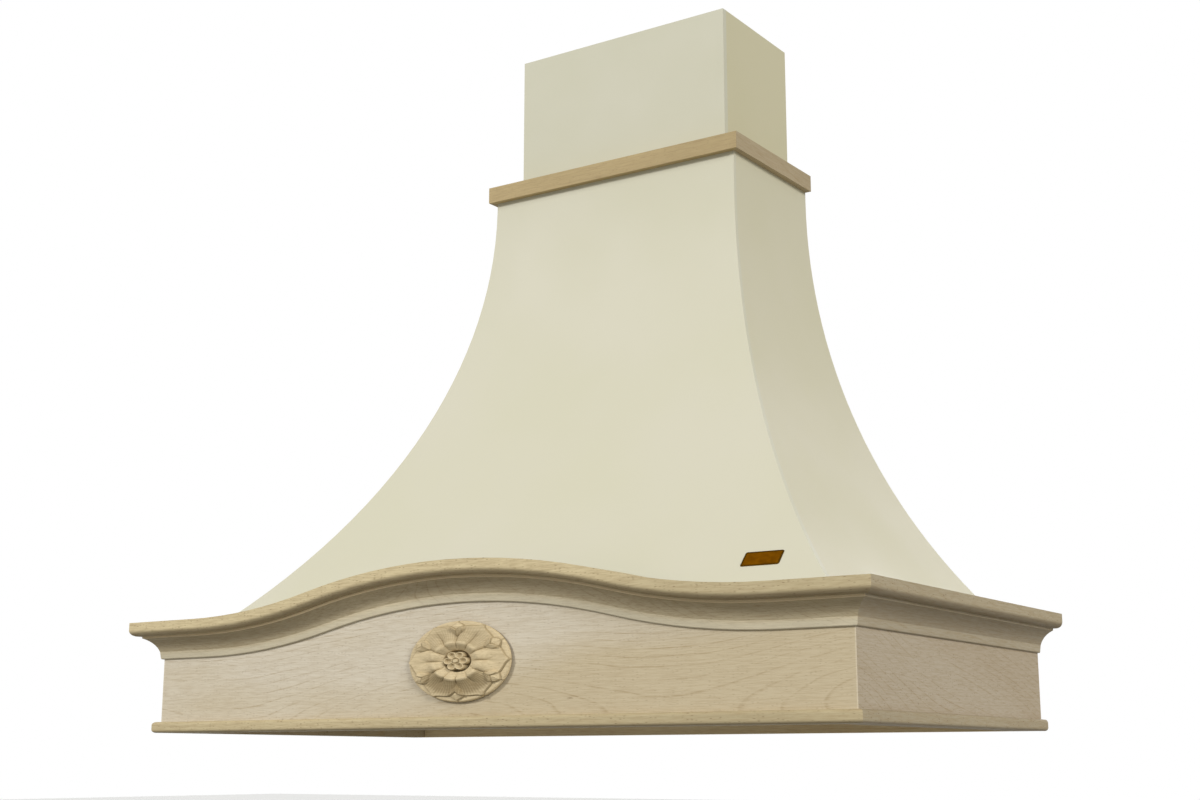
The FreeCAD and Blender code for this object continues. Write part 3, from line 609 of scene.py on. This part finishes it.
class HOOD_OT_board_finish(bpy.types.Operator):
    """Pale sanded beech for the front board and the greyer side boards"""

    bl_idname = "hood.board_finish"
    bl_label = "Valance boards"

    def execute(self, context):
        tints, sizes = context.scene.hood_finishes, context.scene.hood_sizes
        marks = (tints.grain, tints.fleck)
        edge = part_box("valance_front")[1].x
        # Painted highlight: the mitred corners are painted paler over their last 1.8 mm.
        corner = ("X", edge - 0.0018, edge - 0.0007, 0.3, "#EEE5D0")
        front = timber(
            "sanded_beech_front_board", (tints.board, tints.board_warm, *marks), "X",
            pith=(0.0, -0.415, 0.010), lean=(0, -2.2, -1.0), ring=1.2 * sizes.ring, depths=(0.52, 0.28, 0.38),
            bow=(0.014, 0.62, 1.75), drift=0.6, painted_highlights=[corner], knot=(0.1434, -0.484, 0.0295),
        )
        finish_nodes(front, "valance_front")
        # The side boards' fibres run down towards the room.
        side = timber(
            "sanded_beech_side_boards", (tints.side, tints.side_warm, *marks), "Y",
            pith=(0.40, -0.20, -0.12), lean=(0, 15.0, 0), ring=1.5 * sizes.ring, depths=(0.55, 0.34, 0.6),
            bow=(0.016, 0.42, 0.6),
        )
        finish_nodes(side, "valance_left", "valance_right")
        return {"FINISHED"}


def cove_painted_highlights():
    """Painted highlights of the cove on the front and on the sides: its lip is painted pale, as where it
    catches the light, and the flat land, which stands 3.2 mm proud of the board, is painted paler and
    greyer. On the sides they hardly show."""
    land = 0.0032
    ends = (
        ("Y", -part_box("crown_cove_front")[0].y, -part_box("valance_front")[0].y + land, 1.0),
        ("X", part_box("crown_cove_right")[1].x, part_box("valance_right")[1].x + land, 0.15),
    )
    return [
        [
            (axis, lip - 0.0010, lip - 0.0004, 0.80 * share, "#E6D0A8"),
            (axis, flat + 0.0012, flat + 0.0004, 0.45 * share, "#D0CAB4"),
        ]
        for axis, lip, flat, share in ends
    ]


class HOOD_OT_moulding_finish(bpy.types.Operator):
    """Moulded beech for the crown, the bottom strips and the collar"""

    bl_idname = "hood.moulding_finish"
    bl_label = "Crown, strips and collar"

    def execute(self, context):
        tints, ring = context.scene.hood_finishes, context.scene.hood_sizes.ring
        marks = (tints.grain, tints.fleck)
        # Levels lift or lower a run's colour, on the front and on the sides; the cove's high level is painted
        # light, lifting it against the shade under the cap. Under puts painted shade on faces that look down.
        runs = (
            dict(
                name="moulded_beech_cap", node="crown_cap", colour=tints.moulding, levels=(1.12, 1.04),
                drift=0.9, pith=(0.1, -0.52, 0.02), lean=(0, 2.0, 0), under=(0.60, -0.60, -0.02),
                depths=(0.5, 0.45, 0.9),
            ),
            dict(
                name="moulded_beech_cove", node="crown_cove", colour=tints.cove, levels=(1.20, 1.20),
                drift=0.5, pith=(0.0, -0.53, 0.10), lean=(0, 24.0, 0), under=(0.42, -0.60, -0.04),
                depths=(0.4, 0.45, 0.4), painted_highlights=cove_painted_highlights(),
            ),
            dict(
                name="rounded_beech_strip", node="base_strip", colour=tints.moulding, levels=(0.97, 1.00),
                drift=0.0, pith=(-0.2, -0.45, -0.06), lean=(0, 1.0, 0), under=(0.5, -0.85, -0.3),
                depths=(0.4, 0.45, 0.9),
            ),
            dict(
                name="squared_beech_collar", node="collar", colour=tints.collar, levels=(1.12, 1.12),
                drift=0.0, pith=(0.0, -0.26, 0.66), lean=(0, 1.5, 0), under=None, depths=(0.6, 0.4, 0.4),
            ),
        )
        for run in runs:
            front_level, side_level = run["levels"]
            front_highlights, side_highlights = run.get("painted_highlights", ((), ()))
            pale = tuple(front_level * c for c in run["colour"])
            warm = tuple(0.80 * c for c in pale)
            front = timber(
                run["name"] + "_front", (pale, warm, *marks), "X", run["pith"], run["lean"], ring,
                run["depths"], drift=run["drift"], under=run["under"], painted_highlights=front_highlights,
            )
            finish_nodes(front, run["node"] + "_front")
            # The sides take half their colour from the side boards, and are darker.
            greyer = tuple(0.40 * side_level * (a + b) for a, b in zip(run["colour"], tints.side))
            warm = tuple(0.84 * c for c in greyer)
            side = timber(
                run["name"] + "_side", (greyer, warm, *marks), "Y", (0.44, -0.2, run["pith"][2]), (0, 9.0, 0),
                ring, run["depths"], under=run["under"], painted_highlights=side_highlights,
            )
            finish_nodes(side, run["node"] + "_left", run["node"] + "_right")
        return {"FINISHED"}


class HOOD_OT_paint(bpy.types.Operator):
    """Cream satin paint for the canopy and the chimney box"""

    bl_idname = "hood.paint"
    bl_label = "Canopy and chimney"

    def execute(self, context):
        tints = context.scene.hood_finishes
        coats = {
            "canopy_front": (tints.paint, ["canopy_front_skin"]),
            # The sides take the same paint, tinted yellower as painted light.
            "canopy_sides_warm_lit": (tints.paint_sides_warm_lit, ["canopy_skin_left", "canopy_skin_right"]),
            "chimney_front": (tints.paint_high, ["chimney_front"]),
            "chimney_sides_warm_lit": (tints.paint_high_sides_warm_lit, ["chimney_side_left", "chimney_side_right"]),
        }
        for name, (colour, nodes) in coats.items():
            finish_nodes(satin_paint("cream_satin_paint_" + name, tuple(colour)), *nodes)
        return {"FINISHED"}


class HOOD_OT_inner_frame(bpy.types.Operator):
    """Birch plywood and planed spruce for the frame behind the boards and sheets"""

    bl_idname = "hood.inner_frame"
    bl_label = "Inner frame"

    def execute(self, context):
        # Plywood pieces by the axis across their veneers.
        sheets = {
            "X": ["front_rib_left", "front_rib_middle", "front_rib_right"],
            "Y": [
                "side_rib_left", "side_rib_right", "wall_former_left", "wall_former_right",
                "chimney_back_strip_lower", "chimney_back_strip_upper",
            ],
            "Z": ["platform_front", "platform_left", "platform_right", "insert_shelf"],
        }
        for across, names in sheets.items():
            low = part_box(names[0])[0]
            material = birch_plywood("sanded_birch_plywood_" + across.lower(), across, tuple(low))
            finish_nodes(material, *names)
        # Spruce pieces by the axis along their fibres.
        lengths = {
            "X": [
                "lower_back_rail", "upper_back_rail", "top_rail_front", "shelf_cleat_front",
                "shelf_cleat_back",
            ],
            "Y": ["shelf_cleat_left", "shelf_cleat_right", "top_rail_left", "top_rail_right"],
            "Z": [
                "hip_batten_left", "hip_batten_right", "corner_block_left", "corner_block_right",
                "chimney_corner_batten_left", "chimney_corner_batten_right",
                "chimney_stop_left", "chimney_stop_right",
            ],
        }
        tones = [linear(code) for code in ("#D9CAA8", "#D0BE98", "#AF8F62", "#8C6B42")]
        for grain, names in lengths.items():
            material = timber(
                "planed_spruce_" + grain.lower(), tones, grain, pith=(0.05, 0.06, -0.05), lean=(0.6, 0.8, 0),
                ring=0.0032, depths=(0.6, 0.3, 0.1),
            )
            finish_nodes(material, *names)
        return {"FINISHED"}


class HOOD_OT_rosette(bpy.types.Operator):
    """Carved oval rosette in the middle of the front board"""

    bl_idname = "hood.rosette"
    bl_label = "Carved rosette"

    def execute(self, context):
        tints, sizes = context.scene.hood_finishes, context.scene.hood_sizes
        low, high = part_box("rosette")
        middle = (low + high) / 2
        half_width, half_height = (high.x - low.x) / 2, (high.z - low.z) / 2
        around = np.linspace(0.0, 2.0 * math.pi, 600, endpoint=False)
        # Rings lie closest where the outlines of the petals and of the small flower are cut.
        radius = np.concatenate([
            np.linspace(0.008, 0.26, 42, endpoint=False), np.linspace(0.26, 0.62, 36, endpoint=False),
            np.linspace(0.62, 0.96, 60, endpoint=False), np.linspace(0.96, 1.0, 10),
        ])
        rho, theta = np.meshgrid(radius, around, indexing="ij")
        height, hollow = carved_flower(rho, theta, sizes.relief, sizes.rim)
        rings = np.stack([
            rho * np.cos(theta) * half_width, rho * np.sin(theta) * half_height, height
        ], axis=-1)
        # The edge is cut under: from its widest line it runs in to 0.955 of the radius at the board.
        foot = rings[-1] * np.array([0.955, 0.955, 0.0])
        waist = rings[-1] * np.array([0.998, 0.998, 0.80])
        rings = np.concatenate([rings, waist[None], foot[None]])
        origin, axes = (middle.x, high.y, middle.z), ((1, 0, 0), (0, 0, 1))
        points, faces = closed_skin(
            place(rings, origin, *axes),
            place(np.array([0.0, 0.0, height[0].mean()]), origin, *axes),
            np.array(origin),
        )
        # Carved beech is tan and matt, with painted shade in its hollows and on slopes that face down.
        beech = timber(
            "carved_beech_rosette", (tints.carving, tints.carving, tints.grain, tints.carving_shade), "X",
            pith=(0.0, -0.46, 0.02), lean=(0, 1.0, 0), ring=0.004, depths=(0.25, 0.35, 0.35), hollow=True,
        )
        piece = new_piece("rosette_carving", points, faces, beech, "cover")
        # Painted shadow along the cut edge, darkest at its foot; the two poles have none.
        edge, poles = np.repeat([1.0, 1.5], len(around)), [0.0, 0.0]
        shade = 0.7 * np.concatenate([hollow.ravel(), edge, poles])
        piece.data.attributes.new("hollow", "FLOAT", "POINT").data.foreach_set("value", shade)
        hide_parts("rosette")
        return {"FINISHED"}


def place_on_canopy(x, down_the_arc):
    """Point on the outside of the canopy's front, and the angle that its face leans back there.

    The sheet is one arc that stands upright 10 mm above its top. Its radius is
    (spread^2 + drop^2) / (2 spread), and the angle is the way down the arc over the radius.
    """
    sheet, above = 0.006, 0.010
    low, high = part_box("canopy_front_skin")
    top, level = -high.y + sheet, high.z + above
    spread = -low.y - top
    radius = (spread**2 + (level - low.z) ** 2) / (2 * spread)
    angle = down_the_arc / radius
    return (x, -(top + radius * (1 - math.cos(angle))), level - radius * math.sin(angle)), angle


class HOOD_OT_plate(bpy.types.Operator):
    """Blank bronze-coloured plate, low on the right of the canopy's front"""

    bl_idname = "hood.plate"
    bl_label = "Blank plate"

    def execute(self, context):
        sizes, colour = context.scene.hood_sizes, tuple(context.scene.hood_finishes.plate)
        origin, lean = place_on_canopy(0.3270, 0.600)
        # From the middle out, margin from the edge and height: the face, a groove, the rest of the
        # face, the bevelled edge, and the foot, which is sunk a little into the sheet.
        thick, bevel, groove, sunk = sizes.plate_thickness, 0.0003, 0.0004, 0.0003
        profile = [
            (0.0050, thick), (0.0024, thick), (0.0021, thick - groove), (0.0016, thick - groove),
            (0.0013, thick), (bevel, thick), (0.0, thick - bevel), (0.0, -sunk),
        ]
        corner, quarter_points = 0.0022, 10
        loops = rounded_loops(sizes.plate_width, sizes.plate_height, corner, profile, quarter_points)
        axes = ((1, 0, 0), (0, math.sin(lean), math.cos(lean)))
        points, faces = closed_skin(
            place(loops, origin, *axes),
            place(np.array([0.0, 0.0, thick]), origin, *axes),
            place(np.array([0.0, 0.0, -sunk]), origin, *axes),
        )
        # Anodised aluminium, brushed along X: a dull brown shine with fine level strokes.
        bronze = brushed_metal(
            "bronze_anodised_aluminium", colour, 0.42, (40.0, 3000.0, 3000.0), edge_colour=linear("#46350A")
        )
        plate = new_piece("blank_plate", points, faces, bronze, "cover", crease=30)
        # Darkest outside the groove, and fading across it to the plain face.
        margins = np.array(profile)[:, 0]
        dark = np.repeat(0.8 * (1.0 - ease((margins - 0.0013) / 0.0011)), 4 * quarter_points)
        dark = np.concatenate([dark, [0.0, 0.8]])
        plate.data.attributes.new("edge", "FLOAT", "POINT").data.foreach_set("value", dark)
        return {"FINISHED"}


class HOOD_OT_cleat_screws(bpy.types.Operator):
    """Countersunk screws that hold the shelf's cleats to the boards and the wall rail"""

    bl_idname = "hood.cleat_screws"
    bl_label = "Cleat screws"

    def execute(self, context):
        radius, sunk = context.scene.hood_sizes.screw_head / 2, 0.0004
        around = np.linspace(0.0, 2.0 * math.pi, 48, endpoint=False)
        rho, theta = np.meshgrid(np.linspace(0.06, 1.0, 16), around, indexing="ij")
        top = np.stack([
            radius * rho * np.cos(theta), radius * rho * np.sin(theta), countersunk_head(rho, theta, radius)
        ], axis=-1)
        foot = top[-1].copy()
        foot[:, 2] = -sunk
        head = np.concatenate([top, foot[None]])
        poles = np.array([[0.0, 0.0, float(top[0, :, 2].mean())], [0.0, 0.0, -sunk]])

        # Each screw's place on a cleat's face, and the way to its right as seen from the opening.
        front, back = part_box("shelf_cleat_front"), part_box("shelf_cleat_back")
        left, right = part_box("shelf_cleat_left"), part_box("shelf_cleat_right")
        level = (front[0].z + front[1].z) / 2
        screws = []
        for x in (-0.36, -0.12, 0.12, 0.36):
            screws.append(((x, front[1].y, level), (-1, 0, 0)))
            screws.append(((x, back[0].y, level), (1, 0, 0)))
        for y in (-0.38, -0.24, -0.10):
            screws.append(((right[0].x, y, level), (0, -1, 0)))
            screws.append(((left[1].x, y, level), (0, 1, 0)))
        skins = [
            closed_skin(place(head, at, across, (0, 0, 1)), *place(poles, at, across, (0, 0, 1)))
            for at, across in screws
        ]
        # All heads have the same faces, each set counted on from the points before it.
        points, one = np.concatenate([skin[0] for skin in skins]), skins[0]
        starts = len(one[0]) * np.arange(len(skins))[:, None, None]
        faces = [(part + starts).reshape(-1, part.shape[1]) for part in one[1]]
        # Zinc plating is a pale, slightly warm grey with a soft shine.
        steel = brushed_metal("zinc_plated_steel", linear("#C3BFB0"), 0.34, (900.0, 900.0, 900.0))
        new_piece("shelf_cleat_screws", points, faces, steel, "cover", 40)
        return {"FINISHED"}


def looked_at(tree, *rays):
    """1 where the eye or one of the named kinds of ray looks straight at a surface, else 0."""
    path = add(tree, "ShaderNodeLightPath")
    seen = path.outputs["Is Camera Ray"]
    for ray in rays:
        seen = add(tree, "ShaderNodeMath", (seen, path.outputs[ray]), operation="MAXIMUM").outputs[0]
    return seen


def white_room(sky):
    """World that is plain white to look at and lights at its own level, less from below than from
    above, as in a room with a bright ceiling."""
    world = bpy.data.worlds.new("white_room")
    world.use_nodes = True
    tree = world.node_tree
    tree.nodes.clear()
    way = add(tree, "ShaderNodeTexCoord").outputs["Generated"]
    height = add(tree, "ShaderNodeSeparateXYZ", (way,)).outputs["Z"]
    level = add(tree, "ShaderNodeMapRange", (height, -0.4, 0.2, 0.6 * sky, sky)).outputs[0]
    direct = looked_at(tree, "Is Glossy Ray", "Is Transmission Ray")
    strength = add(tree, "ShaderNodeMix", {0: direct, 2: level, 3: 1.0}).outputs[0]
    back = add(tree, "ShaderNodeBackground", {"Color": (1.0, 1.0, 1.0, 1.0), "Strength": strength})
    tree.links.new(back.outputs[0], add(tree, "ShaderNodeOutputWorld").inputs[0])
    return world


def matt_floor():
    """Matt floor, pale to the eye and darker to the light that it throws back up. Seen from underneath
    it is clear, so that it doesn't hide the cover."""
    material, tree, output = blank_material("pale_matt_floor")
    direct = looked_at(tree, "Is Glossy Ray")
    lit, seen = linear("#A4A4A1"), linear("#F0F0EE")
    tint = add(tree, "ShaderNodeMix", {0: direct, 6: lit, 7: seen}, data_type="RGBA").outputs[2]
    matt = add(tree, "ShaderNodeBsdfDiffuse", {"Color": tint}).outputs[0]
    under = add(tree, "ShaderNodeNewGeometry").outputs["Backfacing"]
    clear = add(tree, "ShaderNodeBsdfTransparent").outputs[0]
    both = add(tree, "ShaderNodeMixShader", (under, matt, clear))
    tree.links.new(both.outputs[0], output.inputs[0])
    return material


class HOOD_OT_studio(bpy.types.Operator):
    """Pale floor, white surroundings, plain soft light and the camera"""

    bl_idname = "hood.studio"
    bl_label = "Studio"

    def execute(self, context):
        scene, studio = context.scene, context.scene.hood_studio
        scene.view_settings.view_transform = "Standard"
        scene.world = white_room(studio.sky)

        # Soft lamps by direction from the cover (degrees left of the front, degrees up), width in degrees
        # and level. Parallel light of pi watts a square metre gives a matt surface its own colour.
        lamps = {
            "key": (34.0, 26.0, 10.0, studio.key),
            "right": (-62.0, 20.0, 22.0, studio.fill),
            "back": (160.0, 30.0, 40.0, studio.back),
        }
        for name, (round_to_left, up, width, level) in lamps.items():
            data = bpy.data.lights.new("soft_lamp_" + name, "SUN")
            data.angle, data.energy = math.radians(width), math.pi * level
            lamp = bpy.data.objects.new("soft_lamp_" + name, data)
            scene.collection.objects.link(lamp)
            lamp.rotation_euler = (math.radians(90 - up), 0.0, math.radians(-round_to_left))

        reach = 60.0
        corners = np.array([(-1, -1), (1, -1), (1, 1), (-1, 1)], float) * reach
        points = np.column_stack([corners, np.full(4, -studio.hang)])
        mesh = bpy.data.meshes.new("floor")
        mesh.from_pydata(points, [], [(0, 1, 2, 3)])
        mesh.materials.append(matt_floor())
        floor = bpy.data.objects.new("floor", mesh)
        scene.collection.objects.link(floor)

        # The photograph's own place and angle, solved from the cover's corners.
        eye, up, turned = (1.1567, -1.9286, -0.0352), 12.11, 34.043
        data = bpy.data.cameras.new("camera")
        data.lens, data.sensor_width = studio.lens, 36.0
        camera = bpy.data.objects.new("camera", data)
        scene.collection.objects.link(camera)
        camera.location = eye
        camera.rotation_euler = (math.radians(90 + up), 0.0, math.radians(turned))
        scene.camera = camera
        return {"FINISHED"}


STEPS = (
    HOOD_OT_board_finish, HOOD_OT_moulding_finish, HOOD_OT_paint, HOOD_OT_inner_frame,
    HOOD_OT_rosette, HOOD_OT_plate, HOOD_OT_cleat_screws, HOOD_OT_studio,
)
GROUPS = {"hood_finishes": HoodFinishes, "hood_sizes": HoodSizes, "hood_studio": HoodStudio}


class HOOD_PT_panel(bpy.types.Panel):
    """Lists the steps, sizes and colours of the hood cover"""

    bl_label = "Hood Cover"
    bl_idname = "HOOD_PT_panel"
    bl_space_type = "VIEW_3D"
    bl_region_type = "UI"
    bl_category = "Hood Cover"

    def draw(self, context):
        column = self.layout.column(align=True)
        for step in STEPS:
            column.operator(step.bl_idname, text=step.bl_label)
        for group, kind in GROUPS.items():
            box = self.layout.box()
            for name in kind.__annotations__:
                box.prop(getattr(context.scene, group), name)


def register():
    for cls in (*GROUPS.values(), *STEPS, HOOD_PT_panel):
        bpy.utils.register_class(cls)
    for name, kind in GROUPS.items():
        setattr(bpy.types.Scene, name, bpy.props.PointerProperty(type=kind))


def unregister():
    for name in GROUPS:
        delattr(bpy.types.Scene, name)
    for cls in (HOOD_PT_panel, *reversed(STEPS), *reversed(tuple(GROUPS.values()))):
        bpy.utils.unregister_class(cls)


def main():
    register()
    for step in STEPS:
        group, name = step.bl_idname.split(".")
        getattr(getattr(bpy.ops, group), name)()


if __name__ == "__main__":
    main()
